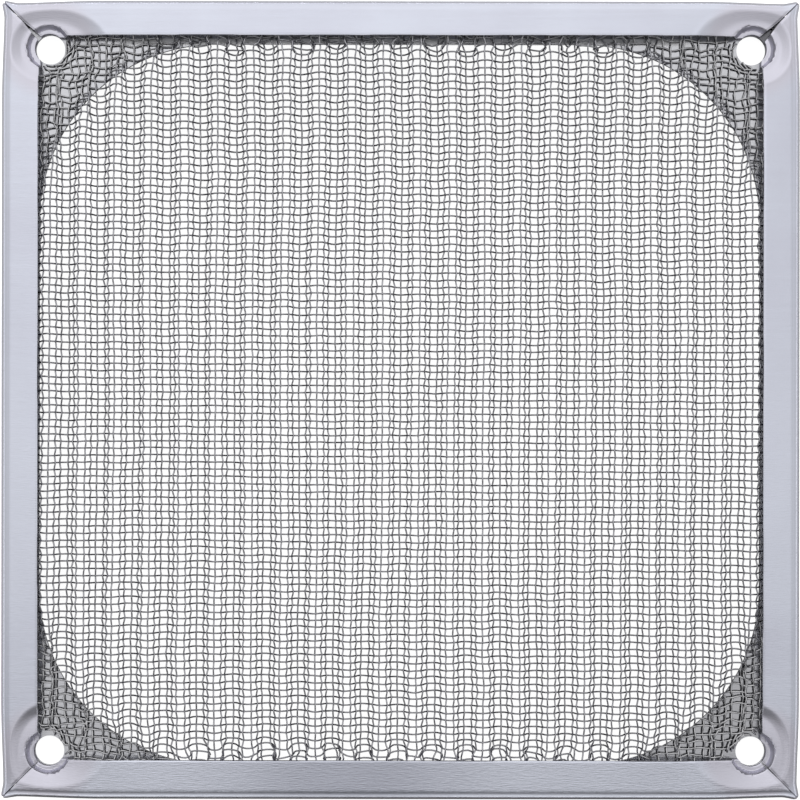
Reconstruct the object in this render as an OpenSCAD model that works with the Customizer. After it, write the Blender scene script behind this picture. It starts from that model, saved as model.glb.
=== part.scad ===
// Aluminium dust filter for a 120 mm fan.
// A frame folded from one sheet clamps a pleated wire mesh between its back plate and its front lips.
// It lies on its back plate: the origin is under the centre, +Z points out of the lips.

/* [Frame] */
// Outside width of the square frame
frame_w = 119; // [90:0.5:160]
// Depth of the folded frame from its back face to the top of its lips
frame_t = 3.2; // [2.8:0.1:5]
// Thickness of the sheet
sheet_t = 0.5; // [0.4:0.05:0.7]
// Outside radius of the folds along the walls
bend_r = 1.3; // [0.9:0.05:1.4]
// Width of the front lips, measured from the outside of the wall
lip_w = 5.5; // [4:0.1:9]
// Sideways offset that the folds gave the lips, with the back opening off by as much the other way
fold_shift_x = 0.15; // [-0.4:0.05:0.4]
// The same offset along the pleats
fold_shift_y = 0.38; // [-0.4:0.02:0.4]
// Width of the mitred seam between two lips
seam_gap = 0.14; // [0.08:0.02:0.4]
// Width to which a seam flares where it meets the screw hole
seam_flare = 0.7; // [0.4:0.05:1.2]
// Length of the flared stretch of a seam, measured along one side
flare_run = 3; // [1:0.25:4]

/* [Back opening] */
// Width of the back plate's rim beside the opening, measured from the outside of the wall
rim_w = 5.5; // [4:0.1:10]
// Radius of the rounded-square opening's corners
opening_r = 26.5; // [16:0.5:36]

/* [Screw corners] */
// Distance of the screw holes' centres from the outside of the walls: the holes are 105 mm apart
hole_inset = 7; // [6.5:0.1:9]
// Diameter of the screw holes
hole_d = 4.3; // [3:0.1:5]
// Flat left on a lip between the fold along the wall and the dish round a screw hole
dish_margin = 0.1; // [0.05:0.05:0.3]
// Depth of the dish down to its floor
dish_depth = 0.9; // [0.3:0.05:1]
// Width of the dish's floor
floor_w = 0.35; // [0.1:0.05:0.5]
// Width of the ring pressed down next to the hole
ring_w = 0.85; // [0.5:0.05:1]
// Depth of that ring below the dish's floor
ring_depth = 0.3; // [0.1:0.05:0.4]

/* [Pleated mesh] */
// Diameter of the wire
wire_d = 0.23; // [0.18:0.01:0.28]
// Distance from one pleat to the next
pleat_pitch = 5; // [4:0.1:7]
// Radius of the wall's middle at the crests and valleys of the pleats
pleat_r = 1.25; // [0.6:0.05:1.3]
// Width of the ridge left on each crest between two columns of gaps
ridge_w = 1.6; // [1:0.1:2.4]
// Rows of gaps along the pleats
gap_rows = 5; // [2:1:5]
// Width of the wavy bars between two rows of gaps
bar_w = 1.2; // [0.6:0.1:3]
// Solid border between the gaps and the edge of the lips
border_w = 1.6; // [1:0.1:4]
// Clearance of the mesh to the sheet on each of its faces
mesh_clear = 0.05; // [0.02:0.01:0.1]
// Clearance of the mesh to the screw holes and to the dished lips
corner_clear = 0.3; // [0.2:0.05:0.6]

/* [Hidden] */
fine = 28;
half_w = frame_w / 2;
hole_at = half_w - hole_inset;
hole_r = hole_d / 2;
// Overlap of pieces of sheet that belong together, and overshoot of cuts
lap = 0.15;
flange_lap = 1;
over = 1;

// Radii of the dish round a screw hole, from the hole outwards
ring_r = hole_r + ring_w;
floor_r = ring_r + ring_depth / 2;
slope_r = floor_r + floor_w;
dish_r = hole_inset - bend_r - dish_margin;
slope_run = dish_r - lap - slope_r;

// Inner edges of the lips, on the side of a sign
function lip_edge_x(side) = side * (half_w - lip_w) + fold_shift_x;
function lip_edge_y(side) = side * (half_w - lip_w) + fold_shift_y;

// The mesh wall is two crossing wires thick and fills the depth between the sheets
mesh_wall = 2 * wire_d;
mesh_w = frame_w - 2 * (bend_r + mesh_clear);
mesh_mid_z = frame_t / 2;
pleat_h = frame_t - 2 * sheet_t - mesh_wall - 2 * mesh_clear;

// Tangent arcs for the crests and valleys, joined by straight flanks
half_pitch = pleat_pitch / 2;
widest_arc_r = (half_pitch * half_pitch + pleat_h * pleat_h) / (4 * pleat_h);
flank_share = 0.03;
arc_r = min(pleat_r, (1 - flank_share) * widest_arc_r);
arc_drop = pleat_h - 2 * arc_r;
flank_angle = atan2(arc_drop, half_pitch) + asin(2 * arc_r / norm([half_pitch, arc_drop]));
arc_points = 4;
folds = ceil(mesh_w / pleat_pitch) + 1;

// Gaps: one column to each valley, in rows between the lips
gap_w = pleat_pitch - ridge_w;
field_x = half_w - lip_w - abs(fold_shift_x) - border_w;
field_y = half_w - lip_w - abs(fold_shift_y) - border_w;
side_columns = floor((field_x - gap_w / 2) / pleat_pitch);
row_pitch = (2 * field_y + bar_w) / gap_rows;
gap_l = row_pitch - bar_w;

module square_holes(size, at) {
    for (x = [-at, at], y = [-at, at])
        translate([x, y])
            circle(r = size, $fn = fine);
}

// Channel section of one folded side: x runs inwards from the wall, y is the height
module channel_section(width, inset) {
    r = bend_r - inset;
    translate([bend_r, inset])
        square([width - bend_r, frame_t - 2 * inset]);
    translate([inset, bend_r])
        square([bend_r, frame_t - 2 * bend_r]);
    for (z = [bend_r, frame_t - bend_r])
        translate([bend_r, z])
            circle(r = r, $fn = fine);
}

module side_section(width) {
    difference() {
        channel_section(width, 0);
        channel_section(width + over, sheet_t);
        // The back flange ends just inside the fold, where the back plate takes over
        translate([bend_r + flange_lap, -over])
            square([width, over + frame_t / 2]);
    }
}

// Plan of the side towards -Y, with its mitred ends
module mitre_plan() {
    s = seam_gap / sqrt(2);
    f = seam_flare / sqrt(2);
    flare_at = hole_at + flare_run;
    right = [[half_w - s, -half_w], [flare_at - s, -flare_at], [hole_at - f, -hole_at]];
    left = [for (i = [2 : -1 : 0]) [-right[i][0], right[i][1]]];
    polygon(concat(right, [[0, -f]], left));
}

// Width of the lip on each side, counted from -Y anticlockwise
function lip_on(turn) =
    turn == 0 ? half_w + lip_edge_y(-1) :
    turn == 1 ? half_w - lip_edge_x(1) :
    turn == 2 ? half_w - lip_edge_y(1) :
    half_w + lip_edge_x(-1);

// Ring section of a dish: a smooth drop from the lip to the dish's floor, then the pressed ring
module dish() {
    steps = 3;
    floor_z = frame_t - dish_depth;
    ring_z = floor_z - ring_depth;
    slope = [
        for (i = [0 : steps])
            [slope_r + slope_run * i / steps, floor_z + dish_depth * (1 - cos(180 * i / steps)) / 2]
    ];
    upper = concat([[hole_r, ring_z], [ring_r, ring_z], [floor_r, floor_z]], slope, [[dish_r, frame_t]]);
    lower = [for (i = [len(upper) - 1 : -1 : 0]) upper[i] - [0, sheet_t]];
    rotate_extrude($fn = fine)
        polygon(concat(upper, lower));
}

// One folded side towards -Y: its channel, with the lip pressed down into a dish at each screw hole
module folded_side(width) {
    intersection() {
        union() {
            difference() {
                translate([-half_w, -half_w, 0])
                    rotate([90, 0, 90])
                        linear_extrude(frame_w)
                            side_section(width);
                for (x = [-hole_at, hole_at])
                    translate([x, -hole_at, frame_t / 2])
                        cylinder(r = dish_r - lap, h = frame_t, $fn = fine);
            }
            for (x = [-hole_at, hole_at])
                intersection() {
                    translate([x, -hole_at, 0])
                        dish();
                    translate([x - frame_w / 2, -half_w, 0])
                        cube([frame_w, width, frame_t + over]);
                }
        }
        translate([0, 0, -over])
            linear_extrude(frame_t + 2 * over)
                mitre_plan();
    }
}

module back_plate() {
    flat_w = frame_w - 2 * bend_r;
    opening_w = frame_w - 2 * rim_w;
    arc_at = opening_w / 2 - opening_r;
    linear_extrude(sheet_t)
        difference() {
            square(flat_w, center = true);
            translate([-fold_shift_x, -fold_shift_y]) {
                square([opening_w, 2 * arc_at], center = true);
                square([2 * arc_at, opening_w], center = true);
                square_holes(opening_r, arc_at);
            }
        }
}

module folded_frame() {
    color([0.76, 0.77, 0.82])
        difference() {
            union() {
                back_plate();
                for (turn = [0 : 3])
                    rotate(90 * turn)
                        folded_side(lip_on(turn));
            }
            for (x = [-hole_at, hole_at], y = [-hole_at, hole_at])
                translate([x, y, -over])
                    cylinder(r = hole_r, h = frame_t + 2 * over, $fn = fine);
        }
}

// Points of one face of the pleated wall, offset from its middle, from one fold to the next
function pleat_face(offset) = [
    for (fold = [-folds : folds])
        let (crest = fold % 2 == 0 ? -1 : 1)
            let (r = (arc_r + crest * offset) / cos(flank_angle / arc_points))
                for (i = [0 : arc_points - 1])
                    let (a = flank_angle * ((2 * i + 1) / arc_points - 1))
                        [fold * half_pitch + r * sin(a), crest * (pleat_h / 2 - arc_r + r * cos(a))]
];

module pleat_section() {
    upper = pleat_face(mesh_wall / 2);
    lower = pleat_face(-mesh_wall / 2);
    polygon(concat(upper, [for (i = [len(lower) - 1 : -1 : 0]) lower[i]]));
}

// Plan of the mesh: cut back from the dished lips in its corners, and clear of the screw holes
module mesh_plan() {
    reach = hole_at - dish_r - corner_clear;
    difference() {
        square(mesh_w, center = true);
        for (x = [-1, 1], y = [-1, 1]) {
            edge = [lip_edge_x(x) - x * corner_clear, lip_edge_y(y) - y * corner_clear];
            polygon([
                [x * reach, edge[1]], edge, [edge[0], y * reach],
                [x * frame_w, y * reach], [x * frame_w, y * frame_w], [x * reach, y * frame_w]
            ]);
            // Nothing is left of the mesh between a screw hole and the corner of the frame
            polygon([
                [x * hole_at, y * hole_at], [x * frame_w, y * hole_at],
                [x * frame_w, y * frame_w], [x * hole_at, y * frame_w]
            ]);
        }
        square_holes(hole_r + corner_clear, hole_at);
    }
}

// A gap is left out where it would run into a screw hole
function gap_fits(x, y) =
    norm([max(0, hole_at - abs(x) - gap_w / 2), max(0, hole_at - abs(y) - gap_l / 2)])
        > hole_r + corner_clear + bar_w;

module gap_plan() {
    for (column = [-side_columns : side_columns], row = [0 : gap_rows - 1]) {
        x = column * pleat_pitch;
        y = (row - (gap_rows - 1) / 2) * row_pitch;
        if (gap_fits(x, y))
            translate([x, y])
                square([gap_w, gap_l], center = true);
    }
}

module pleated_mesh() {
    color([0.42, 0.42, 0.45])
        intersection() {
            translate([0, mesh_w / 2, mesh_mid_z])
                rotate([90, 0, 0])
                    linear_extrude(mesh_w)
                        pleat_section();
            linear_extrude(frame_t)
                difference() {
                    mesh_plan();
                    gap_plan();
                }
        }
}

folded_frame();
pleated_mesh();
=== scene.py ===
"""Looks of the fan dust filter: a folded aluminium frame and its pleated wire mesh, on a white floor."""

import math

import bmesh
import bpy
import numpy as np
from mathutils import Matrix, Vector
from mathutils.geometry import delaunay_2d_cdt


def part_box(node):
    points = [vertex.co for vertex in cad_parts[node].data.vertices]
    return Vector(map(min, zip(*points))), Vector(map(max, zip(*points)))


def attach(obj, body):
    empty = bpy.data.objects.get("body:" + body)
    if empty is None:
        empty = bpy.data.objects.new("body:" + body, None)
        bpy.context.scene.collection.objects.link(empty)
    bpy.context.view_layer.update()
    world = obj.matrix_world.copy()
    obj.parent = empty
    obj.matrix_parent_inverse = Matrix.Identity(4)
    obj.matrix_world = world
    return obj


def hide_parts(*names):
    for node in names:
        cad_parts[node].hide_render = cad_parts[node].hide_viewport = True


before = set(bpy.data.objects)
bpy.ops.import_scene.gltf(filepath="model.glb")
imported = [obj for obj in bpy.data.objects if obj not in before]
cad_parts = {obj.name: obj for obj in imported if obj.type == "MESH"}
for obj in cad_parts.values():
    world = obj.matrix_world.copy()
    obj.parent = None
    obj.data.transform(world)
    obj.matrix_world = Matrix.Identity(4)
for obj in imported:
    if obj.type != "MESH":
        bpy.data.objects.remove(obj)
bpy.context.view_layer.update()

MM = 0.001
SEED = 20
rng = np.random.default_rng(SEED)

# Sizes in millimetres: the outside is the CAD frame's, and the rest is as the photo shows it
frame_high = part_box("folded_frame")[1]
HALF = frame_high.x / MM
DEPTH = frame_high.z / MM
SHEET = 0.5
BEND = 1.55
# Width of the lips, and their offset towards +Y
LIP, LIP_SHIFT = 5.63, 0.28
HOLE_R, HOLE_IN = 2.2, 7.0
HOLE_AT = HALF - HOLE_IN
# Rounded-square opening of the back plate: its rim's width, its corners and its offset
RIM = 5.5
OPEN_R = 26.5
OPEN_INNER = HALF - RIM - OPEN_R
OPEN_SHIFT = (-0.15, -0.62)
# Wires and pleats, with some height to spare between the mesh and the sheet
WIRE_R = 0.125
PITCH = 5.0
PLEAT_R = 1.25
SPARE = 0.2
PLEAT_H = DEPTH - 2 * SHEET - 4 * WIRE_R - SPARE
MESH_LOW = DEPTH / 2 - PLEAT_H / 2


def smooth(low, high, x):
    """Smooth step from 0 at low to 1 at high; low may be the larger."""
    t = np.clip((np.asarray(x, float) - low) / (high - low), 0, 1)
    return t * t * (3 - 2 * t)


def slope_between(low, high, x, ease):
    """Straight rise from 0 at low to 1 at high with eased ends; low may be the larger."""
    t = (np.asarray(x, float) - low) / (high - low)
    return (1 + np.hypot(t, ease) - np.hypot(t - 1, ease)) / 2


# Folded sheet

# Sides counted from -Y anticlockwise, with the width of each lip
LIP_ON = [LIP + LIP_SHIFT, LIP, LIP - LIP_SHIFT, LIP]

# Dishes at the start and the end of each side: reach along the side and towards the wall, share of the flat
# middle, depth, and slope by which the middle rises again towards the seam
DISHES = [
    [(8.6, 5.2, 0.5, 0.55, 0.0), (8.8, 5.2, 0.5, 0.55, 0.0)],
    [(7.2, 5.5, 0.8, 0.42, 0.1), (5.5, 5.6, 0.72, 0.5, 0.0)],
    [(8.7, 5.6, 0.68, 0.46, 0.0), (8.9, 5.5, 0.68, 0.46, 0.0)],
    [(5.2, 5.6, 0.74, 0.52, 0.0), (7.2, 5.5, 0.8, 0.42, 0.1)],
]
RISE_REACH = 3.0
DISH_EASE = 0.2
# A low bead round each dish: its height, and its place and width as shares of the dish's reach
BEAD, BEAD_AT, BEAD_WIDTH = 0.03, 1.02, 0.06
# Round a screw hole the lip steps down to a flat ring at this height
RING_OUT, RING_IN, RING_Z, RING_EASE = 3.25, 2.9, 1.5, 0.12

# Half width of each corner's seam at the tip, at its waist and at the hole, counted from -X -Y
SEAMS = [(0.14, 0.05, 0.12), (0.08, 0.05, 0.2), (0.1, 0.08, 0.85), (0.2, 0.05, 0.58)]
# Distances in from the wall between which a seam narrows from its tip and widens to the hole, and where it ends
SEAM_NARROWS, SEAM_WIDENS, SEAM_END = (3.0, 0.0), (2.6, 6.0), 5.5
# The lips are rolled down along the seams
SEAM_ROLL, SEAM_REACH = 0.05, 0.4
# The walls run in a little towards the corners, and the tips stand out and are rounded
RUN_IN, RUN_REACH, RUN_DEPTH = 0.36, 15.0, (7.0, 2.0)
FLARE, FLARE_REACH = 0.4, 2.4
TIP_R, TIP_DEPTH = 0.9, (2.4, 0.4)
# The inner edges of the lips are curled down a little, each side with its depth and reach
CURL, CURL_REACH = (0.04, 0.03, 0.02, 0.03), (0.2, 0.4, 0.4, 0.4)
# They are broken too: the size of that, and the width of the flat lip that it is a share of
EDGE, FLAT_LIP = 0.05, 4.2
# Slow waves along the lips: height, rate along the side, and change from side to side
WAVES = ((0.02, 0.21, 1), (0.012, 0.47, 2))

# Rows of a side from the lip's inner edge to the back plate, finer on the inner part of the lip, down to a share of it
FINE_TO, FINE_ROWS, COARSE_ROWS = 0.62, 23, 11
TOP_ROWS, BOTTOM_ROWS = 10, 8
ROWS = (
    [("edge", 1.0), ("lip", 1 - EDGE / FLAT_LIP)]
    + [("lip", float(v)) for v in np.linspace(1, FINE_TO, FINE_ROWS + 1)[1:]]
    + [("lip", float(v)) for v in np.linspace(FINE_TO, 0, COARSE_ROWS + 1)[1:]]
    + [("top", float(v)) for v in np.radians(np.linspace(0, 90, TOP_ROWS + 1))[1:]]
    + [("wall", 0.5)]
    + [("bottom", float(v)) for v in np.radians(np.linspace(90, 0, BOTTOM_ROWS))]
)
# Columns of half a side: along the screw hole, next to it at a small step, and from there to the middle
HOLE_COLUMNS, NEAR_COLUMNS, FAR_COLUMNS = 34, 34, 30
NEAR_STEP = 0.28
# Distances from the corner up to which the columns lean towards it and follow its seam
LEAN_REACH, LEAN_POWER, FOLLOW_REACH = 18.0, 0.8, 12.0

# Points on the back plate's round edges, angle of its sharp edges in degrees, and distance of points to be merged
ARC_POINTS, HOLE_POINTS = 61, 56
SHARP = 32
WELD = 0.004


def seam_half(corner, w):
    """Half width of a corner's seam at w in from the wall."""
    tip, waist, hole = SEAMS[corner]
    return waist + (tip - waist) * smooth(*SEAM_NARROWS, w) + (hole - waist) * smooth(*SEAM_WIDENS, w)


def dish_drop(side, end, a, w):
    """Depth of the pressed dish at a along the side from its corner and w in from its wall."""
    along, wall, middle, depth, rise = DISHES[side][end]
    far = np.hypot((a - HOLE_IN) / along, (w - HOLE_IN) / wall)
    inwards = np.maximum(HOLE_IN + along * middle - a, 0)
    depth = depth - rise * RISE_REACH * (1 - np.exp(-inwards / RISE_REACH))
    r = np.hypot(a - HOLE_IN, w - HOLE_IN)
    bead = BEAD * np.exp(-(((far - BEAD_AT) / BEAD_WIDTH) ** 2))
    drop = depth * slope_between(1.0, middle, far, DISH_EASE) - bead
    return drop + (DEPTH - RING_Z - drop) * slope_between(RING_OUT, RING_IN, r, RING_EASE)


def inner_points(side, corner, count):
    """Inner outline of one end of a lip: along the screw hole from the seam to the straight edge."""
    gap = float(seam_half(corner, SEAM_END))
    start = math.radians(225) + math.asin(gap / (HOLE_R * math.sqrt(2)))
    stop = 2 * math.pi + math.asin((LIP_ON[side] - HOLE_IN) / HOLE_R)
    angle = np.linspace(start, stop, count)
    return HOLE_IN + HOLE_R * np.cos(angle), HOLE_IN + HOLE_R * np.sin(angle)


def half_columns(side, corner):
    """Columns of a side from one corner to the middle: distances at the wall and the edge, width, share of the seam."""
    a_in, w_in = inner_points(side, corner, HOLE_COLUMNS)
    a_near = a_in[-1] + NEAR_STEP * np.arange(1, NEAR_COLUMNS + 1)
    a_far = np.linspace(a_near[-1], HALF, FAR_COLUMNS + 1)[1:]
    a_in = np.concatenate([a_in, a_near, a_far])
    w_in = np.concatenate([w_in, np.full(NEAR_COLUMNS + FAR_COLUMNS, LIP_ON[side])])
    lean = (a_in[0] - float(seam_half(corner, 0.0))) * smooth(LEAN_REACH, a_in[0], a_in) ** LEAN_POWER
    return a_in - lean, a_in, w_in, smooth(FOLLOW_REACH, a_in[0], a_in)


def side_columns(side):
    """Columns of a whole side, from its left corner, with the share of the seam at either end."""
    left, right = half_columns(side, side), half_columns(side, (side + 1) % 4)
    a_out, a_in = (np.concatenate([left[k], (2 * HALF - right[k][:-1])[::-1]]) for k in (0, 1))
    w_in = np.concatenate([left[2], right[2][:-1][::-1]])
    share_left = np.concatenate([left[3], np.zeros(len(right[3]) - 1)])
    share_right = np.concatenate([np.zeros(len(left[3])), right[3][:-1][::-1]])
    return a_out, a_in, w_in, share_left, share_right


def section_row(side, kind, v, w_in):
    """Distance in from the wall, height and normal along one row of a side, as folded and not yet dished."""
    if kind in ("edge", "lip"):
        w = BEND + (w_in - BEND) * v
        z = np.full_like(w_in, DEPTH - EDGE if kind == "edge" else DEPTH)
        return w, z - CURL[side] * smooth(CURL_REACH[side], 0.0, w_in - w), (0, 0, 1)
    if kind == "wall":
        return np.zeros_like(w_in), np.full_like(w_in, DEPTH * v), (0, -1, 0)
    w = np.full_like(w_in, BEND * (1 - math.sin(v)))
    rise = BEND * (1 - math.cos(v))
    if kind == "top":
        return w, np.full_like(w_in, DEPTH - rise), (0, -math.sin(v), math.cos(v))
    return w, np.full_like(w_in, rise), (0, -math.sin(v), -math.cos(v))


def side_surface(side):
    """Outer and inner face of one folded side as two grids of points, columns by rows from the lip's edge."""
    a_out, a_in, w_in, *shares = side_columns(side)
    corners = (side, (side + 1) % 4)
    grid = np.zeros((len(a_out), len(ROWS), 3))
    normals = np.zeros((len(ROWS), 3))
    for k, (kind, v) in enumerate(ROWS):
        w, z, normals[k] = section_row(side, kind, v, w_in)
        a = a_out + (a_in - a_out) * w / w_in
        for corner, share, sign in zip(corners, shares, (1, -1)):
            tip, hole = seam_half(corner, 0.0), seam_half(corner, SEAM_END)
            a = a + sign * (seam_half(corner, w) - (tip + (hole - tip) * w / SEAM_END)) * share
        if kind in ("edge", "lip", "top"):
            keep = math.cos(v) if kind == "top" else 1.0
            z = z - keep * dish_drop(side, 0, a, w) - keep * dish_drop(side, 1, 2 * HALF - a, w)
        if kind == "lip":
            wave = sum(height * np.sin(a * rate + change * side) for height, rate, change in WAVES)
            z = z + wave * smooth(BEND, w_in, w)
        gaps = [seam_half(corner, w) for corner in corners]
        for gap, sign in zip(gaps, (1, -1)):
            ahead = a if sign > 0 else 2 * HALF - a
            if kind in ("edge", "lip"):
                z = z - SEAM_ROLL * smooth(SEAM_REACH, 0.0, (ahead - w - gap) / math.sqrt(2))
            far = np.hypot(ahead, w)
            out = FLARE * smooth(FLARE_REACH, 0.0, far)
            out = out - RUN_IN * smooth(RUN_REACH, 0.0, far) * smooth(*RUN_DEPTH, w)
            w, a = w - out, a - sign * out
        for sign in (1, -1):
            ahead = np.maximum(a if sign > 0 else 2 * HALF - a, 0)
            turn = np.minimum(TIP_R, TIP_R * (1 - math.sqrt(0.5)) + ahead * math.sqrt(0.5))
            share = np.where(ahead < TIP_R, smooth(*TIP_DEPTH, w), 0)
            w = w + share * (TIP_R - np.sqrt(TIP_R**2 - (TIP_R - turn) ** 2))
            a = a + sign * share * (turn - np.minimum(ahead, TIP_R))
        grid[:, k] = np.stack([a - HALF, w - HALF, z], axis=1)
    return grid, grid - SHEET * normals[None]


def turned(points, quarter):
    """Points turned about Z by a number of quarters."""
    c, s = [(1, 0), (0, 1), (-1, 0), (0, -1)][quarter]
    x, y = points[..., 0], points[..., 1]
    return np.stack([c * x - s * y, s * x + c * y, points[..., 2]], axis=-1)


def arc_points(x, y, radius, angle):
    """Points on a circle in the plane."""
    return np.stack([x + radius * np.cos(angle), y + radius * np.sin(angle)], axis=1)


def opening_outline():
    """Rounded-square opening of the back plate."""
    points = []
    for quarter, (sx, sy) in enumerate([(1, 1), (-1, 1), (-1, -1), (1, -1)]):
        angle = np.radians(90 * quarter + np.linspace(0, 90, ARC_POINTS))
        points.append(arc_points(sx * OPEN_INNER, sy * OPEN_INNER, OPEN_R, angle))
    return np.concatenate(points) + np.array(OPEN_SHIFT)


def inside(point, loop):
    """Whether a point lies within a closed outline."""
    x, y = loop[:, 0], loop[:, 1]
    x2, y2 = np.roll(x, -1), np.roll(y, -1)
    cross = (y > point[1]) != (y2 > point[1])
    at = x + (point[1] - y) * (x2 - x) / np.where(y2 == y, 1, y2 - y)
    return bool(np.count_nonzero(cross & (point[0] < at)) % 2)


def plate_triangles(outer, holes):
    """Triangles between an outline and the holes in it."""
    points, edges, start = [], [], 0
    for loop in [outer] + holes:
        points += [Vector((float(x), float(y))) for x, y in loop]
        edges += [(start + i, start + (i + 1) % len(loop)) for i in range(len(loop))]
        start += len(loop)
    verts, _, faces, *_ = delaunay_2d_cdt(points, edges, [], 0, 1e-5)
    flat = np.array([(v.x, v.y) for v in verts])
    kept = []
    for face in faces:
        middle = flat[list(face)].mean(axis=0)
        if inside(middle, outer) and not any(inside(middle, hole) for hole in holes):
            kept.append(tuple(face))
    return flat, kept


class Shape:
    """Vertices and faces gathered for one mesh."""

    def __init__(self):
        self.points, self.faces, self.count = [], [], 0

    def add(self, points):
        """Adds points and returns the index of the first."""
        points = np.asarray(points, float).reshape(-1, 3)
        self.points.append(points)
        self.count += len(points)
        return self.count - len(points)

    def add_both(self, plan):
        """Adds the points of a plan on the lower and on the upper face of the back plate."""
        return [self.add(np.column_stack([plan, np.full(len(plan), z)])) for z in (0.0, SHEET)]

    def grid(self, first, columns, rows, flip=False):
        """Adds the faces of a grid of points."""
        for i in range(columns - 1):
            for k in range(rows - 1):
                a, b = first + i * rows + k, first + (i + 1) * rows + k
                quad = (a, b, b + 1, a + 1)
                self.faces.append(quad[::-1] if flip else quad)

    def strip(self, upper, lower):
        """Adds the faces between two rows of points."""
        for i in range(len(upper) - 1):
            self.faces.append((upper[i], upper[i + 1], lower[i + 1], lower[i]))

    def mesh(self, name):
        """Makes one closed mesh of what was added."""
        mesh = bpy.data.meshes.new(name)
        mesh.from_pydata((np.concatenate(self.points) * MM).tolist(), [], self.faces)
        bm = bmesh.new()
        bm.from_mesh(mesh)
        bmesh.ops.remove_doubles(bm, verts=bm.verts, dist=WELD * MM)
        bmesh.ops.recalc_face_normals(bm, faces=bm.faces)
        bm.to_mesh(mesh)
        bm.free()
        mesh.shade_smooth()
        mesh.set_sharp_from_angle(angle=math.radians(SHARP))
        return mesh


def place(mesh, material, node):
    """Puts a piece into the scene, on the body and in the place of the node that it shows."""
    piece = bpy.data.objects.new(mesh.name, mesh)
    bpy.context.scene.collection.objects.link(piece)
    mesh.materials.append(material)
    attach(piece, "root")
    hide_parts(node)


def folded_sheet():
    """The whole frame as one closed mesh: four folded sides and the back plate between them."""
    shape = Shape()
    outline = []
    for side in range(4):
        outer, inner = (turned(grid, side) for grid in side_surface(side))
        columns, rows = outer.shape[:2]
        top, under = shape.add(outer), shape.add(inner)
        shape.grid(top, columns, rows)
        shape.grid(under, columns, rows, flip=True)
        for column in (0, columns - 1):
            upper, lower = ([first + column * rows + k for k in range(rows)] for first in (top, under))
            shape.strip(upper, lower)
        shape.strip(*([first + i * rows for i in range(columns)] for first in (top, under)))
        outline.append(outer[:, -1, :2])
    angle = np.linspace(0, 2 * math.pi, HOLE_POINTS, endpoint=False)
    holes = [arc_points(x, y, HOLE_R, angle) for x in (-HOLE_AT, HOLE_AT) for y in (-HOLE_AT, HOLE_AT)]
    cuts = [opening_outline()] + holes
    flat, triangles = plate_triangles(np.concatenate(outline), cuts)
    low, high = shape.add_both(flat)
    for tri in triangles:
        shape.faces.append(tuple(low + i for i in tri[::-1]))
        shape.faces.append(tuple(high + i for i in tri))
    for loop in cuts:
        below, above = shape.add_both(loop)
        ring = list(range(len(loop))) + [0]
        shape.strip([above + i for i in ring], [below + i for i in ring])
    for side in range(4):
        below, above = shape.add_both(np.stack([outline[side][-1], outline[(side + 1) % 4][0]]))
        shape.strip([above, above + 1], [below, below + 1])
    return shape.mesh("folded_sheet")


# Woven mesh

WEFT_PITCH = 1.058
# Distance between warp wires in the photo, where the pleats are seen from the front
WARP_SEEN = 0.888
# The weave is turned a little in the frame, and ends at this distance from the centre
TURN = math.radians(-0.28)
REACH = 57.6
# Wires within the punched radius end at the rim of a screw hole, and the rest are pushed outwards
PUNCH_IN, PUNCH_RIM, PUNCH_OUT = 1.1, 2.58, 3.7
WIRE_END = HOLE_R + 0.27
# Clearance of the wires to the lips' edges near the screw holes, and how near to the pressed ring it counts
LIP_CLEAR, RING_CLEAR = 0.2, 0.5
# A stretch of wire with fewer points than this is left out
FEWEST = 4
WIRE_SIDES = 5
# Height of the wires' waves over and under each other
WEFT_CRIMP, WARP_CRIMP = 0.09, 0.168
# Spread from even spacing: in millimetres for the weft, and as a share of the pitch for the warp
WEFT_SPREAD, WARP_SPREAD = 0.012, 0.014
# Steps of a wire from one crossing to the next, and steps of the table of one pleat
WEFT_STEPS, WARP_STEPS = 3, 2
PLEAT_STEPS = 400


def pleat_table():
    """Length along one pleat from valley to valley, with its x, z and slope."""
    drop = PLEAT_H - 2 * PLEAT_R
    half = PITCH / 2
    steep = math.atan2(drop, half) + math.asin(2 * PLEAT_R / math.hypot(half, drop))
    flank = (half - 2 * PLEAT_R * math.sin(steep)) / math.cos(steep)
    bend = PLEAT_R * steep
    total = 2 * (2 * bend + flank)
    length = np.linspace(0, total, PLEAT_STEPS + 1)
    t = np.where(length > total / 2, total - length, length)
    slope = np.where(t < bend, t / PLEAT_R, np.where(t < bend + flank, steep, (total / 2 - t) / PLEAT_R))
    slope = slope * np.where(length > total / 2, -1, 1)
    step = total / PLEAT_STEPS
    middle = (slope[1:] + slope[:-1]) / 2
    x = np.concatenate([[0], np.cumsum(np.cos(middle) * step)])
    z = np.concatenate([[0], np.cumsum(np.sin(middle) * step)])
    return length, x * PITCH / x[-1], z, slope, total


P_LENGTH, P_X, P_Z, P_SLOPE, PLEAT_LENGTH = pleat_table()
WARP_PITCH = WARP_SEEN * PLEAT_LENGTH / PITCH


def pleat_at(p):
    """x, z above the valley and slope at length p, counted from the valley at x = 0."""
    k = np.floor(p / PLEAT_LENGTH)
    rest = p - k * PLEAT_LENGTH
    x, z, slope = (np.interp(rest, P_LENGTH, values) for values in (P_X, P_Z, P_SLOPE))
    return PITCH * k + x, z, slope


def length_at(x):
    """Length along the pleats at x."""
    k = np.floor(x / PITCH)
    return PLEAT_LENGTH * k + np.interp(x - PITCH * k, P_X, P_LENGTH)


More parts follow.
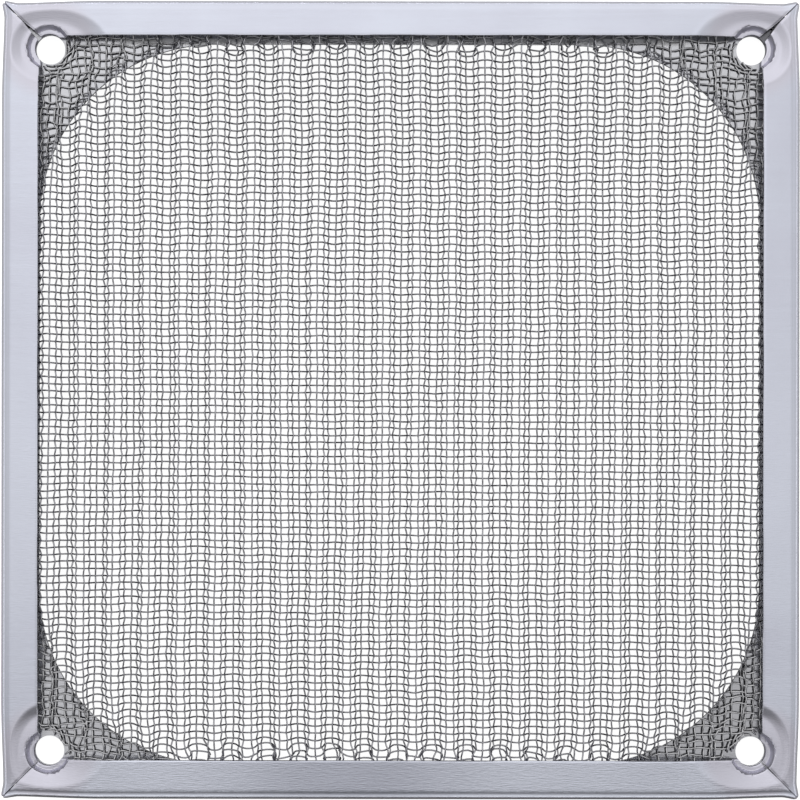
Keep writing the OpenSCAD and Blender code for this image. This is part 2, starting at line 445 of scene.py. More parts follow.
class Ripple:
    """Smooth seeded noise over the plane: a sum of sines of about one size."""

    COUNT = 14
    SIZES = (0.7, 1.6)

    def __init__(self, size):
        angle = rng.uniform(0, 2 * math.pi, self.COUNT)
        k = 2 * math.pi / (size * rng.uniform(*self.SIZES, self.COUNT))
        self.kx, self.ky = k * np.cos(angle), k * np.sin(angle)
        self.phase = rng.uniform(0, 2 * math.pi, self.COUNT)
        self.gain = math.sqrt(2 / self.COUNT)

    def __call__(self, x, y):
        total = np.zeros(np.broadcast(x, y).shape)
        for kx, ky, phase in zip(self.kx, self.ky, self.phase):
            total = total + np.sin(kx * x + ky * y + phase)
        return self.gain * total


slow_x, slow_y = Ripple(38), Ripple(38)
fine_x, fine_y = Ripple(7), Ripple(7)
rough_x, rough_y = Ripple(3.2), Ripple(3.2)
kink_x, kink_y = Ripple(1.7), Ripple(1.7)


def hole_distance(x, y):
    """Distance from the nearest screw hole's centre."""
    return np.hypot(np.abs(x) - HOLE_AT, np.abs(y) - HOLE_AT)


def lips_ahead(x, y):
    """Distance from each pair of lips' edges, inwards positive: along X and along Y."""
    return HALF - LIP - np.abs(x), HALF - LIP + LIP_SHIFT * np.sign(y) - np.abs(y)


# Distance from a seam within which one lip's dish passes into the other's, and the least share of height left
BLEND = 2.0
LEAST_ROOM = 0.04
# Width of the band in which the straight sides of the opening pass into its corners
CORNER_BLEND = 12.0
# A rope of wires: its place beside the crest and its half width, as shares of a pleat
ROPE_AT, ROPE_HALF = 0.15, 0.13


def room_left(x, y):
    """Share of the pleats' height that the dished lips leave."""
    from_x, from_y = HALF - np.abs(x), HALF - np.abs(y)
    drop = np.zeros(np.broadcast(x, y).shape)
    for corner, (sx, sy) in enumerate([(-1, -1), (1, -1), (1, 1), (-1, 1)]):
        here = (np.sign(x) == sx) & (np.sign(y) == sy)
        level = corner if sy == sx else (corner + 3) % 4
        upright = (corner + 3) % 4 if sy == sx else corner
        along = dish_drop(level, 0 if level == corner else 1, from_x, from_y)
        beside = dish_drop(upright, 0 if upright == corner else 1, from_y, from_x)
        share = smooth(-BLEND, BLEND, from_x - from_y)
        drop = np.where(here, share * along + (1 - share) * beside, drop)
    return np.clip((PLEAT_H - drop) / PLEAT_H, LEAST_ROOM, 1)


def past_opening(x, y):
    """Distance outwards from the rounded edge of the opening, and how much a place belongs to a corner."""
    out_x, out_y = np.maximum(np.abs(x) - OPEN_INNER, 0), np.maximum(np.abs(y) - OPEN_INNER, 0)
    return np.hypot(out_x, out_y) - OPEN_R, smooth(0.0, CORNER_BLEND, out_x) * smooth(0.0, CORNER_BLEND, out_y)


def rope(x, crowd):
    """Shift that draws the wires of a pressed pleat together beside its crest, on the side towards the middle."""
    from_rope = (x / PITCH + ROPE_AT * np.sign(x)) % 1 - 0.5
    near = np.clip(from_rope / ROPE_HALF, -1, 1)
    rest = np.clip((0.5 - np.abs(from_rope)) / (0.5 - ROPE_HALF), 0, 1)
    return -crowd * near * rest


def punched(x, y):
    """Plan pushed outwards round the screw holes."""
    hx, hy = x - HOLE_AT * np.sign(x), y - HOLE_AT * np.sign(y)
    r = np.maximum(np.hypot(hx, hy), 1e-6)
    pushed = PUNCH_RIM + (PUNCH_OUT - PUNCH_RIM) * (r - PUNCH_IN) / (PUNCH_OUT - PUNCH_IN)
    spread = np.where(r < PUNCH_OUT, pushed, r) / r
    return x + hx * (spread - 1), y + hy * (spread - 1)


# Sizes and shares of what bends the mesh. A pair holds the distances at which an effect starts and is full: from a
# lip's edge, past the edge of the opening, or from a screw hole.
# The lips bend the ends of the mesh, less in the corners and towards -Y
END_X, END_Y, END_CORNER, LOWER_SHARE = (2.0, 0.2), (3.0, 0.3), 0.7, 0.5
# It lies flat on the plate in the corners, a little raised towards -Y, and is pressed under the lips' edges
ON_PLATE, PLATE_FLAT, PLATE_RAISED = (-1.5, 1.5), 0.9, 0.18
EDGE_NEAR, EDGE_FLAT = (1.5, 0.0), 0.06
# The warp wires gather on the pleats' flanks, more at the lips, and crowd into ropes in the corners
GATHER, GATHER_END, GATHER_UPPER, GATHER_UNEVEN = 0.07, 0.18, 0.18, 0.4
CROWD_PAST, CROWD, CROWD_UNEVEN = (-5.0, 1.0), 0.56, 0.3
# The weft wires leap along Y from valley to crest, and are pulled in at the lip towards +Y
LEAP_NEAR, LEAP_Y, LEAP_X = (3.6, 0.9), 0.4, 0.05
LEAP_STARTS, LEAP_ENDS, LEAP_CORNER = (-6.0, -0.5), (5.0, 0.5), 0.28
PULL_NEAR, PULL = (2.2, -2.2), 0.5
# Slow and loose unevenness, and kinks
SLOW_X, SLOW_Y = 0.1, 0.06
LOOSE_NEAR, LOOSE, LOOSE_CORNER, LOOSE_END = (12.0, 3.0), 0.035, 0.07, 0.12
KINK, KINK_CORNER, KINK_PAST, KINK_BEFORE, KINK_BEFORE_SHARE = 0.012, 0.05, (-1.0, 1.5), (-5.0, 0.0), 0.5
KINK_HOLE_NEAR, KINK_HOLE = (6.5, 2.5), 0.05
KINK_END, KINK_EDGE_NEAR, KINK_EDGE = 0.063, (2.2, 0.2), 0.12


def laid(x, y, rise, slope, lift):
    """Points of the mesh from its plan, its rise above the valley, its slope and its lift along the normal."""
    away = hole_distance(x, y)
    from_x, from_y = lips_ahead(x, y)
    past, cornered = past_opening(x, y)
    upper = np.asarray(y) > 0
    share = np.where(upper, 1.0, LOWER_SHARE)
    end_y = smooth(*END_Y, from_y) * (1 - END_CORNER * cornered)
    end_x = smooth(*END_X, from_x)
    on_plate = cornered * smooth(*ON_PLATE, past)
    flat = room_left(x, y) * (1 - PLATE_FLAT * on_plate) * (1 - EDGE_FLAT * smooth(*EDGE_NEAR, np.abs(from_y)))
    tilt = np.sin(slope) * flat
    nx, nz = -tilt, np.sqrt(1 - tilt * tilt)
    wave = 2 * math.pi * x / PITCH

    gather = GATHER + (GATHER_END + GATHER_UPPER * share) * end_y * (1 + GATHER_UNEVEN * fine_x(x, y))
    crowd = CROWD * cornered * smooth(*CROWD_PAST, past) * (1 + CROWD_UNEVEN * fine_y(x, y))
    evened = on_plate * (length_at(x) * PITCH / PLEAT_LENGTH - x)
    dx = gather * np.sin(2 * wave) + evened + rope(x, crowd)
    leap = LEAP_Y * smooth(*LEAP_NEAR, from_y) * (1 - cornered) + LEAP_X * end_x
    leap = leap + LEAP_CORNER * cornered * smooth(*LEAP_STARTS, past) * smooth(*LEAP_ENDS, past)
    pull = PULL * smooth(*PULL_NEAR, from_y) * upper * (1 - cornered)
    dy = np.sign(y) * leap * -np.cos(wave) - np.sign(y) * pull

    loose = LOOSE + LOOSE_CORNER * smooth(*LOOSE_NEAR, away) + LOOSE_END * end_y
    kinked = KINK + KINK_HOLE * smooth(*KINK_HOLE_NEAR, away) + KINK_END * end_y * share
    kinked = kinked + KINK_EDGE * (1 - cornered) * smooth(*KINK_EDGE_NEAR, from_y) * share
    before = KINK_BEFORE_SHARE * smooth(*KINK_BEFORE, past)
    kinked = kinked + KINK_CORNER * cornered * (smooth(*KINK_PAST, past) + before)
    dx = dx + SLOW_X * slow_x(x, y) + loose * fine_x(x, y) + kinked * (rough_x(x, y) + kink_x(x, y))
    dy = dy + SLOW_Y * slow_y(x, y) + loose * fine_y(x, y) + kinked * (rough_y(x, y) + kink_y(x, y))

    z = MESH_LOW + rise * flat + PLATE_RAISED * on_plate * ~upper
    px, py = punched(x + dx + nx * lift, y + dy)
    c, s = math.cos(TURN), math.sin(TURN)
    return np.stack([c * px - s * py, s * px + c * py, z + nz * lift], axis=-1)


def tube(path, side):
    """Rings of points round a path; side is a direction that the path never takes."""
    tangent = np.gradient(path, axis=0)
    tangent /= np.linalg.norm(tangent, axis=1)[:, None]
    across = side - (tangent @ side)[:, None] * tangent
    across /= np.linalg.norm(across, axis=1)[:, None]
    up = np.cross(tangent, across)
    angle = 2 * math.pi * (np.arange(WIRE_SIDES) + 0.5) / WIRE_SIDES
    ring = np.cos(angle)[None, :, None] * across[:, None] + np.sin(angle)[None, :, None] * up[:, None]
    return path[:, None] + WIRE_R * ring


def kept_parts(path):
    """Stretches of a wire that are left: it is cut at the screw holes, the pressed rings and the mesh's edge."""
    away = hole_distance(path[:, 0], path[:, 1])
    near_lips = np.minimum(*lips_ahead(path[:, 0], path[:, 1])) < LIP_CLEAR
    covered = near_lips & (away < RING_OUT + RING_CLEAR)
    keep = (away > WIRE_END) & ~covered & (np.abs(path[:, :2]).max(axis=1) < REACH)
    edges = np.flatnonzero(np.diff(np.concatenate([[0], keep.astype(int), [0]])))
    for first, last in zip(edges[::2], edges[1::2]):
        if last - first < FEWEST:
            continue
        part = [path[first:last]]
        for inner, outer in ((first, first - 1), (last - 1, last)):
            if 0 <= outer < len(path) and away[outer] <= WIRE_END and not covered[outer]:
                share = (away[inner] - WIRE_END) / (away[inner] - away[outer])
                end = path[inner] + share * (path[outer] - path[inner])
                part = [[end]] + part if outer < inner else part + [[end]]
        yield np.concatenate(part)


def wires_mesh(name, paths, side):
    """One mesh of closed tubes along the paths."""
    points, loops, starts, used, filled = [], [], [], 0, 0
    for part in (part for path in paths for part in kept_parts(path)):
        rings = tube(part, side)
        count = len(rings)
        index = used + np.arange(count * WIRE_SIDES).reshape(count, WIRE_SIDES)
        after = np.roll(index, -1, axis=1)
        quads = np.stack([index[:-1], after[:-1], after[1:], index[1:]], axis=-1).reshape(-1, 4)
        caps = np.stack([index[0][::-1], index[-1]])
        loops += [quads.ravel(), caps.ravel()]
        starts += [filled + 4 * np.arange(len(quads)), filled + 4 * len(quads) + WIRE_SIDES * np.arange(2)]
        filled += 4 * len(quads) + 2 * WIRE_SIDES
        points.append(rings.reshape(-1, 3))
        used += count * WIRE_SIDES
    mesh = bpy.data.meshes.new(name)
    points, loops, starts = np.concatenate(points) * MM, np.concatenate(loops), np.concatenate(starts)
    mesh.vertices.add(len(points))
    mesh.vertices.foreach_set("co", points.astype(np.float32).ravel())
    mesh.loops.add(len(loops))
    mesh.loops.foreach_set("vertex_index", loops.astype(np.int32))
    mesh.polygons.add(len(starts))
    mesh.polygons.foreach_set("loop_start", starts.astype(np.int32))
    mesh.update(calc_edges=True)
    mesh.validate()
    mesh.shade_smooth()
    return mesh


def weave():
    """Paths of the weft wires across the pleats and of the warp wires along them."""
    extent = HALF - SHEET
    most_rows = math.floor(extent / WEFT_PITCH)
    most_wires = math.floor(float(length_at(np.array(extent))) / WARP_PITCH)
    rows = np.arange(-most_rows, most_rows + 1)
    wires = np.arange(-most_wires, most_wires + 1)
    weft, warp = [], []
    row_off = WEFT_SPREAD * rng.standard_normal(len(rows))
    p = np.arange(-WEFT_STEPS * most_wires, WEFT_STEPS * most_wires + 1) * WARP_PITCH / WEFT_STEPS
    x, rise, slope = pleat_at(p)
    for j, off in zip(rows, row_off):
        lift = WEFT_CRIMP * np.cos(math.pi * (p / WARP_PITCH + j))
        weft.append(laid(x, np.full_like(x, j * WEFT_PITCH + off), rise, slope, lift))
    y = np.arange(-WARP_STEPS * most_rows - 1, WARP_STEPS * most_rows + 2) * WEFT_PITCH / WARP_STEPS
    wire_off = WARP_SPREAD * rng.standard_normal(len(wires))
    for i, off in zip(wires, wire_off):
        x, rise, slope = (np.full_like(y, float(v)) for v in pleat_at(np.array((i + off) * WARP_PITCH)))
        lift = -WARP_CRIMP * np.cos(math.pi * (y / WEFT_PITCH + i))
        warp.append(laid(x, y, rise, slope, lift))
    return weft, warp


# Materials


class Nodes:
    """Short way to add and join the nodes of a material or world."""

    def __init__(self, tree):
        self.tree = tree

    def join(self, socket, value):
        """Links a node's output to a socket, or sets the socket to a value."""
        if isinstance(value, bpy.types.NodeSocket):
            self.tree.links.new(value, socket)
        else:
            socket.default_value = value

    def add(self, kind, values=None, **settings):
        node = self.tree.nodes.new(kind)
        for key, value in settings.items():
            setattr(node, key, value)
        for key, value in (values or {}).items():
            self.join(node.inputs[key], value)
        return node

    def math(self, operation, *values):
        return self.add("ShaderNodeMath", dict(enumerate(values)), operation=operation).outputs[0]

    def times(self, value, *others):
        for other in others:
            value = self.math("MULTIPLY", value, other)
        return value

    def plus(self, first, second):
        return self.math("ADD", first, second)

    def minus(self, first, second):
        return self.math("SUBTRACT", first, second)

    def length(self, x, y):
        return self.math("SQRT", self.plus(self.times(x, x), self.times(y, y)))

    def axes(self, vector):
        return self.add("ShaderNodeSeparateXYZ", {"Vector": vector}).outputs

    def range(self, value, low, high, to_low=0, to_high=1):
        """Smooth step of a value from one range to another."""
        values = {"Value": value, "From Min": low, "From Max": high, "To Min": to_low, "To Max": to_high}
        return self.add("ShaderNodeMapRange", values, interpolation_type="SMOOTHSTEP").outputs["Result"]

    def range_mm(self, value, low, high, to_low=0, to_high=1):
        """The same for a length, with its first range in millimetres."""
        return self.range(value, low * MM, high * MM, to_low, to_high)

    def noise(self, spot, scale, detail, rough):
        moved = self.add("ShaderNodeMapping", {"Vector": spot, "Scale": scale}).outputs["Vector"]
        values = {"Vector": moved, "Scale": 1.0, "Detail": detail, "Roughness": rough}
        return self.add("ShaderNodeTexNoise", values).outputs["Fac"]

    def mix(self, factor, first, second, blend="MIX"):
        node = self.add("ShaderNodeMix", data_type="RGBA", blend_type=blend)
        for index, value in ((0, factor), (6, first), (7, second)):
            self.join(node.inputs[index], value)
        return node.outputs[2]

    def surface(self, shader, kind="ShaderNodeOutputMaterial"):
        """Joins a shader to the output."""
        self.tree.links.new(shader.outputs[0], self.add(kind).inputs["Surface"])


def new_material(name):
    """An empty material and its nodes."""
    material = bpy.data.materials.new(name)
    material.use_nodes = True
    material.node_tree.nodes.clear()
    return material, Nodes(material.node_tree)


# Colours of the sheet: rolled from dark to light, painted bright and painted dark reflections along the lips, warm in
# the dishes, painted shade on the steep folds, then the back plate, painted shade towards its corner at +X -Y and in
# the open seam at +X +Y, and a painted light strip beside the top lip
ROLLED = ((0.74, 0.757, 0.868, 1), (0.79, 0.818, 0.93, 1))
PAINTED_BRIGHT_REFLECTION, PAINTED_DARK_REFLECTION = (0.83, 0.858, 0.97, 1), (0.6, 0.618, 0.71, 1)
WARM, PAINTED_FOLD_SHADE = (0.737, 0.722, 0.815, 1), (0.57, 0.57, 0.63, 1)
PLATE, PLATE_CORNER_SHADE = (0.7, 0.705, 0.74, 1), (0.585, 0.588, 0.618, 1)
SEAM_SHADE, PAINTED_LIGHT_STRIP = (0.22, 0.22, 0.24, 1), (0.96, 0.96, 0.98, 1)
# Scales of the sheet's noises, finer across the rolling than along it
GRAIN, STREAK, CLOUD = (900, 10500, 10500), (60, 1700, 1700), (90, 90, 90)
STREAK_SHARE = 0.25
# Width over which a tone changes at a seam, and the middle of the painted dark reflection on the lip towards -Y
SEAM_SOFT = 0.4
PAINTED_DARK_AT, PAINTED_DARK_REACH, FRONT_PAINT_SHARE = -7.6, (2.0, 24.0), 0.85
# Heights below which the sheet is the back plate, and above which it is not
PLATE_BELOW, PLATE_ABOVE = (0.9, 0.6), (0.9, 1.2)
# Depth of the grain: what the lip towards -Y adds, the common depth, and the depth at the lip towards +Y
GRAIN_FRONT, GRAIN_DEPTH, GRAIN_TOP, TOP_FROM = 0.026, 0.015, 0.008, (50, 54)
GRAIN_BUMP = 0.8
# Painted highlight along the side lips: where it starts and where it fades along Y
SIDE_STARTS, SIDE_FADES, SIDE_SHARE = (-36, -28), (14, -6), 0.6
# Distances from a screw hole's centre at which the dish turns warm, and width of the ring's soft edge
DISH_NEAR, DISH_SHARE, RING_SOFT = (8.5, 6), 0.9, 0.2
# Painted shade on the plate: x - y towards the corner at +X -Y, and the smaller of x and y in the open seam
CORNER_FROM, SEAM_SHADE_FROM = (60, 90), (53.2, 53.6)
# Painted light strip on the plate along the top lip, where the lip shades it: where it starts and ends from the lip's
# edge, and its ends along X
STRIP_STARTS, STRIP_ENDS, STRIP_ACROSS, STRIP_SHARE = (-1.2, -0.7), (0.0, 0.1), (46, 40), 0.85
# Dull rim of the plate, from the lips' edges, and dull undersides of the lips, above the plate
DULL_FROM, DULL_SHARE = (-1.3, -0.3), 0.3
UNDER_ABOVE, UNDER_SHARE = (0.7, 1.2), 0.9
# Upright part of the normal where the sheet is steep, where it is flat and where it faces down
STEEP_LEVEL, FLAT_LEVEL, DOWN_LEVEL = (0.9, 0.5), (0.98, 0.996), (-0.4, -0.8)
# Values of a noise that are used, and the roughness from the grain, the clouds, the plate and the ring's step
NOISE_USED = (0.3, 0.7)
ROUGH_GRAIN, ROUGH_CLOUD, ROUGH_PLATE, ROUGH_STEP = (-0.03, 0.04), (0.15, 0.19), -0.05, 0.25


def sheet_material():
    """Satin rolled aluminium with a fine grain along X, and painted reflections, shade and light."""
    material, n = new_material("satin_sheet")
    coordinates = n.add("ShaderNodeTexCoord").outputs
    spot = coordinates["Object"]
    upward = n.axes(coordinates["Normal"])["Z"]
    level = n.math("ABSOLUTE", upward)
    grain = n.noise(spot, GRAIN, 2.0, 0.5)
    streak = n.noise(spot, STREAK, 3.0, 0.5)
    cloud = n.noise(spot, CLOUD, 2.0, 0.5)

    # Where a place lies: beside a screw hole, on a side, on the back plate, on a slope
    axes = n.axes(spot)
    across, along = (n.math("ABSOLUTE", axes[k]) for k in ("X", "Y"))
    from_hole = n.length(*(n.minus(value, HOLE_AT * MM) for value in (across, along)))
    front = n.minus(n.times(axes["Y"], -1.0), across)
    on_sides = n.range_mm(n.minus(across, along), 0.0, SEAM_SOFT)
    on_plate, off_plate = (n.range_mm(axes["Z"], *heights) for heights in (PLATE_BELOW, PLATE_ABOVE))
    ringed = n.range_mm(from_hole, RING_OUT + RING_SOFT, RING_OUT)
    steep = n.range(level, *STEEP_LEVEL)

    # Colour of the lips
    tone = n.plus(n.times(streak, STREAK_SHARE), n.times(cloud, 1 - STREAK_SHARE))
    colour = n.mix(n.range(tone, *NOISE_USED), *ROLLED)
    # Painted reflection on the lip towards -Y: darker about a point left of its middle, brighter towards its ends
    from_painted_dark = n.math("ABSOLUTE", n.minus(axes["X"], PAINTED_DARK_AT * MM))
    front_painted_reflection = n.mix(n.range_mm(from_painted_dark, *PAINTED_DARK_REACH, 1, 0), PAINTED_BRIGHT_REFLECTION, PAINTED_DARK_REFLECTION)
    colour = n.mix(n.range_mm(front, 0.0, SEAM_SOFT, 0, FRONT_PAINT_SHARE), colour, front_painted_reflection)
    # Painted highlight on the side lips, strongest below their middle
    painted_side_highlight = n.times(n.range_mm(axes["Y"], *SIDE_FADES, 0, SIDE_SHARE), n.range_mm(axes["Y"], *SIDE_STARTS))
    colour = n.mix(n.times(on_sides, painted_side_highlight), colour, PAINTED_BRIGHT_REFLECTION)
    colour = n.mix(n.range_mm(from_hole, *DISH_NEAR, 0, DISH_SHARE), colour, WARM)
    # Painted shade on the steep folds, but not on the ring's step
    colour = n.mix(n.times(steep, n.minus(1.0, ringed)), colour, PAINTED_FOLD_SHADE)

    # Colour of the back plate, with painted shade towards its corner at +X -Y and in the open seam, and a painted light
    # strip beside the top lip
    plate = n.mix(n.range_mm(n.minus(axes["X"], axes["Y"]), *CORNER_FROM), PLATE, PLATE_CORNER_SHADE)
    plate = n.mix(n.range_mm(n.math("MINIMUM", axes["X"], axes["Y"]), *SEAM_SHADE_FROM), plate, SEAM_SHADE)
    colour = n.mix(on_plate, colour, plate)
    # Painted light over the lip's shade on the plate beside the top lip
    starts, ends = ([HALF - LIP_ON[2] + off for off in pair] for pair in (STRIP_STARTS, STRIP_ENDS))
    strip = n.range_mm(axes["Y"], *starts, 0, STRIP_SHARE)
    strip = n.times(strip, n.range_mm(axes["Y"], *ends, 1, 0), n.range_mm(across, *STRIP_ACROSS))
    colour = n.mix(n.times(strip, on_plate), colour, PAINTED_LIGHT_STRIP)

    # Roughness, and less metal where the sheet is dull: under the lips and on the plate's rim
    rough = n.plus(n.range(grain, *NOISE_USED, *ROUGH_GRAIN), n.range(cloud, *NOISE_USED, *ROUGH_CLOUD))
    rough = n.plus(rough, n.times(on_plate, ROUGH_PLATE))
    rough = n.plus(rough, n.times(steep, ringed, ROUGH_STEP))
    under = n.times(n.range(upward, *DOWN_LEVEL, 0, UNDER_SHARE), n.range_mm(axes["Z"], *UNDER_ABOVE))
    rim = (HALF - LIP + off for off in DULL_FROM)
    dull = n.range_mm(n.math("MAXIMUM", across, along), *rim, 0, DULL_SHARE)
    dull = n.times(n.math("MAXIMUM", dull, strip), on_plate)
    metallic = n.minus(n.minus(1.0, under), dull)

    # Depth of the grain
    coarse = n.range_mm(front, 0.0, SEAM_SOFT, 0, GRAIN_FRONT * MM)
    coarse = n.times(coarse, n.range(level, *FLAT_LEVEL), off_plate)
    coarse = n.plus(coarse, n.range_mm(axes["Y"], *TOP_FROM, GRAIN_DEPTH * MM, GRAIN_TOP * MM))
    values = {"Strength": GRAIN_BUMP, "Distance": coarse, "Height": grain}
    bump = n.add("ShaderNodeBump", values).outputs["Normal"]
    values = {"Base Color": colour, "Metallic": metallic, "Roughness": rough, "Normal": bump}
    n.surface(n.add("ShaderNodeBsdfPrincipled", values))
    return material


# Colours of the wires where they are pressed on the plate: painted shade below, and a painted highlight above
PAINTED_UNDERSIDE_SHADE, PAINTED_TOP_HIGHLIGHT = (0.02, 0.02, 0.024, 1), (0.74, 0.74, 0.76, 1)
# Distance past the opening's edge at which they are pressed, share of the painted shade, and upright part of the normal
# that gets the painted highlight
PRESSED_PAST, UNDERSIDE_SHADE_SHARE, TOP_HIGHLIGHT_LEVEL = (-0.5, 0.8), 0.9, (0.1, 0.6)
# Scales of the wires' noises, the values of each that are used and what is left of the painted highlight there
PATCH, SPECK = (420, 420, 420), (5200, 5200, 5200)
PATCH_HIGHLIGHT, SPECK_HIGHLIGHT = (0.25, 0.7, 0.6, 1.0), (0.2, 0.8, 0.7, 1.0)
# Upright part of the normal where a wire gets a painted highlight, its roughness, and the depth of its specks
HIGHLIGHT_LEVEL = (0.84, 0.985)
WIRE_ROUGH = (0.24, 0.38)
SPECK_DEPTH, SPECK_BUMP = 0.01, 0.15
# Blue of the wires as a factor of their grey, where painted in shade and where painted as highlight
DARK_BLUE, BRIGHT_BLUE = 1.1, 1.04


def wire_material(name, shaded_grey, highlight_grey):
    """Drawn wire with painted shade on its flanks and a painted highlight on top; pressed on the plate, painted dark
    below and painted light above.
    """
    material, n = new_material(name)
    coordinates = n.add("ShaderNodeTexCoord").outputs
    spot = coordinates["Object"]
    upward = n.axes(coordinates["Normal"])["Z"]
    patch, speck = n.noise(spot, PATCH, 3.0, 0.6), n.noise(spot, SPECK, 2.0, 0.5)
    painted_highlight = n.times(
        n.range(n.math("ABSOLUTE", upward), *HIGHLIGHT_LEVEL),
        n.range(patch, *PATCH_HIGHLIGHT),
        n.range(speck, *SPECK_HIGHLIGHT),
    )
    axes = n.axes(spot)
    out = (n.minus(n.math("ABSOLUTE", axes[k]), OPEN_INNER * MM) for k in ("X", "Y"))
    past = n.length(*(n.math("MAXIMUM", value, 0.0) for value in out))
    pressed = n.range_mm(past, *(OPEN_R + off for off in PRESSED_PAST))
    # Painted shade on the flanks and a painted highlight on the upward-facing tops
    colour = n.mix(painted_highlight, (shaded_grey, shaded_grey, shaded_grey * DARK_BLUE, 1), (highlight_grey, highlight_grey, highlight_grey * BRIGHT_BLUE, 1))
    # Where pressed on the plate: painted near-black shade, then a painted highlight on the upward-facing side
    colour = n.mix(n.times(pressed, UNDERSIDE_SHADE_SHARE), colour, PAINTED_UNDERSIDE_SHADE)
    colour = n.mix(n.times(pressed, n.range(upward, *TOP_HIGHLIGHT_LEVEL)), colour, PAINTED_TOP_HIGHLIGHT)
    rough = n.range(speck, *NOISE_USED, *WIRE_ROUGH)
    values = {"Strength": SPECK_BUMP, "Distance": SPECK_DEPTH * MM, "Height": speck}
    bump = n.add("ShaderNodeBump", values).outputs["Normal"]
    values = {"Base Color": colour, "Metallic": 1.0, "Roughness": rough, "Normal": bump}
    n.surface(n.add("ShaderNodeBsdfPrincipled", values))
    return material


# The floor's brightness: seen directly, mirrored in the metal, and as a light on it
FLOOR_SEEN, FLOOR_MIRRORED, FLOOR_LIGHT = 0.92, 0.02, 0.8
FLOOR_COLOUR = (0.25, 0.25, 0.25, 1)


def floor_material():
    """Floor that looks white to the camera, stays dark in the metal, and keeps the object's shadow."""
    material, n = new_material("white_floor")
    path = n.add("ShaderNodeLightPath").outputs
    direct = n.math("MAXIMUM", path["Is Camera Ray"], path["Is Transmission Ray"])
    seen = n.plus(n.times(direct, FLOOR_SEEN), n.times(path["Is Glossy Ray"], FLOOR_MIRRORED))
    seen = n.plus(seen, n.times(path["Is Diffuse Ray"], FLOOR_LIGHT))
    glow = n.add("ShaderNodeEmission", {"Color": (1, 1, 1, 1), "Strength": seen})
    matte = n.add("ShaderNodeBsdfDiffuse", {"Color": FLOOR_COLOUR})
    n.surface(n.add("ShaderNodeAddShader", {0: glow.outputs[0], 1: matte.outputs[0]}))
    return material


sheet_look = sheet_material()
weft_look = wire_material("weft_wire", shaded_grey=0.3, highlight_grey=0.62)
warp_look = wire_material("warp_wire", shaded_grey=0.42, highlight_grey=0.76)
for name, look in (("folded_frame", sheet_look), ("pleated_mesh", weft_look)):
    node_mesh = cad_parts[name].data
    node_mesh.materials.clear()
    node_mesh.materials.append(look)

place(folded_sheet(), sheet_look, "folded_frame")

WIRE_PIECES = 3
weft_paths, warp_paths = weave()
for label, paths, side, look in (
    ("weft", weft_paths, (0, 1, 0), weft_look),
    ("warp", warp_paths, (1, 0, 0), warp_look),
):
    for number, part in enumerate(np.array_split(np.arange(len(paths)), WIRE_PIECES)):
        mesh = wires_mesh(f"{label}_wires_{number + 1}", [paths[i] for i in part], np.array(side, float))
        place(mesh, look, "pleated_mesh")

# Floor, light and camera

# Half width of the floor and its height, in metres
FLOOR_HALF, FLOOR_Z = 3.0, -0.00003

# Brightness of the sky along Y, from -Y to +Y, and a factor along X, from -X to +X
SKY_ALONG = [
    (0.0, 0.66), (0.03, 0.64), (0.065, 0.54), (0.125, 0.3), (0.195, 0.17),
    (0.275, 0.24), (0.365, 0.46), (0.405, 0.645), (0.47, 0.725), (0.52, 0.78),
    (0.56, 0.83), (0.625, 0.92), (0.75, 0.95), (0.95, 0.92), (1.0, 0.78),
]
SKY_ACROSS = [
    (0.0, 0.75), (0.03, 0.73), (0.175, 0.82), (0.27, 0.77), (0.35, 0.9), (0.39, 1.03), (0.45, 1.02),
    (0.55, 1.0), (0.61, 0.97), (0.65, 0.9), (0.73, 0.77), (0.825, 0.82), (0.97, 0.73), (1.0, 0.75),
]
# Soft dark patches of the sky: centre and spread in X and Y, and depth
PATCHES = [((0.0, -0.16), (0.06, 0.12), 0.28), ((0.3, 0.26), (0.09, 0.12), 0.2)]
# Heights between which the sky turns white towards the horizon
HORIZON = (0.28, 0.14)

# Long lamp behind the top lip, in metres and watts
LAMP_AT, LAMP_SIZE, LAMP_WATTS = (-0.1, 1.2, 0.2), (0.5, 0.1), 155
# Camera in millimetres and degrees, with its shift as a share of the picture and its clipping in metres
CAMERA_AT, CAMERA_ROLL = (-1.55, -8.93, 260.0), 0.08
SENSOR, LENS, CAMERA_SHIFT = 36.0, 77.9, (0.0126, 0.075)
CLIP = (0.01, 50)


def floor():
    """Plain white floor just below the back plate."""
    mesh = bpy.data.meshes.new("floor")
    signs = [(-1, -1), (1, -1), (1, 1), (-1, 1)]
    mesh.from_pydata([(sx * FLOOR_HALF, sy * FLOOR_HALF, FLOOR_Z) for sx, sy in signs], [], [(0, 1, 2, 3)])
    mesh.materials.append(floor_material())
    piece = bpy.data.objects.new("floor", mesh)
    bpy.context.scene.collection.objects.link(piece)


def ramp(n, value, stops):
    """Grey that follows a value from -1 to 1 through stops on a scale from 0 to 1."""
    node = n.add("ShaderNodeValToRGB", {"Fac": n.plus(n.times(value, 0.5), 0.5)})
    node.color_ramp.interpolation = "EASE"
    elements = node.color_ramp.elements
    while len(elements) > 1:
        elements.remove(elements[-1])
    for k, (at, level) in enumerate(stops):
        element = elements[0] if k == 0 else elements.new(at)
        element.position = at
        element.color = (level, level, level, 1)
    return node.outputs["Color"]


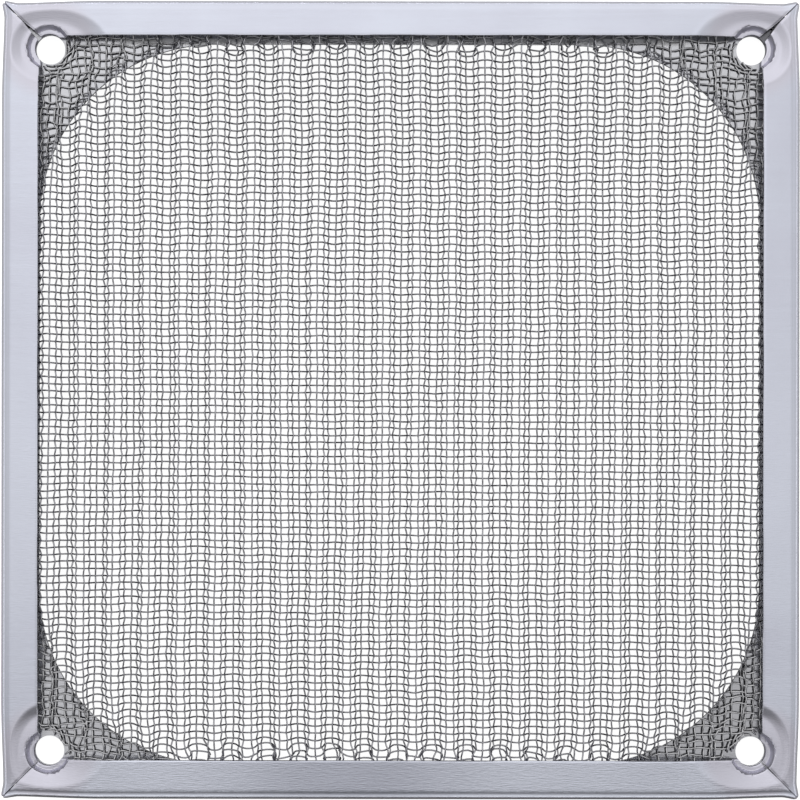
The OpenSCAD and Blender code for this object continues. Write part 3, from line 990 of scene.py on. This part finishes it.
def shade(n, axes, centre, spread, depth):
    """Factor of a soft dark patch in the sky."""
    across, along = (
        n.math("DIVIDE", n.minus(axes[k], middle), width) for k, middle, width in zip(("X", "Y"), centre, spread)
    )
    far = n.plus(n.times(across, across), n.times(along, along))
    fall = n.math("EXPONENT", n.times(far, -0.5))
    return n.minus(1.0, n.times(fall, depth))


def studio():
    """Soft light that is brighter towards +Y, dims towards -Y, and is white at the horizon."""
    world = bpy.data.worlds.new("studio")
    bpy.context.scene.world = world
    world.use_nodes = True
    world.node_tree.nodes.clear()
    n = Nodes(world.node_tree)
    axes = n.axes(n.add("ShaderNodeTexCoord").outputs["Generated"])
    colour = ramp(n, axes["Y"], SKY_ALONG)
    for factor in (ramp(n, axes["X"], SKY_ACROSS), *(shade(n, axes, *patch) for patch in PATCHES)):
        colour = n.mix(1.0, colour, factor, blend="MULTIPLY")
    colour = n.mix(n.range(axes["Z"], *HORIZON), colour, (1, 1, 1, 1))
    n.surface(n.add("ShaderNodeBackground", {"Color": colour, "Strength": 1.0}), "ShaderNodeOutputWorld")


def lamp():
    """Long soft lamp behind the top lip, low over the floor, which isn't mirrored in the metal."""
    light = bpy.data.lights.new("floor_lamp", "AREA")
    light.shape = "RECTANGLE"
    light.size, light.size_y = LAMP_SIZE
    light.energy = LAMP_WATTS
    holder = bpy.data.objects.new("floor_lamp", light)
    holder.location = LAMP_AT
    holder.rotation_euler = (-Vector(LAMP_AT)).to_track_quat("-Z", "Y").to_euler()
    holder.visible_glossy = False
    bpy.context.scene.collection.objects.link(holder)


def camera():
    """Camera above the filter, with the photo's framing."""
    data = bpy.data.cameras.new("camera")
    data.sensor_width = SENSOR
    data.lens = LENS
    data.shift_x, data.shift_y = CAMERA_SHIFT
    data.clip_start, data.clip_end = CLIP
    holder = bpy.data.objects.new("camera", data)
    holder.location = [v * MM for v in CAMERA_AT]
    holder.rotation_euler = (0, 0, math.radians(CAMERA_ROLL))
    bpy.context.scene.collection.objects.link(holder)
    bpy.context.scene.camera = holder


floor()
studio()
lamp()
camera()
bpy.context.scene.view_settings.view_transform = "Standard"
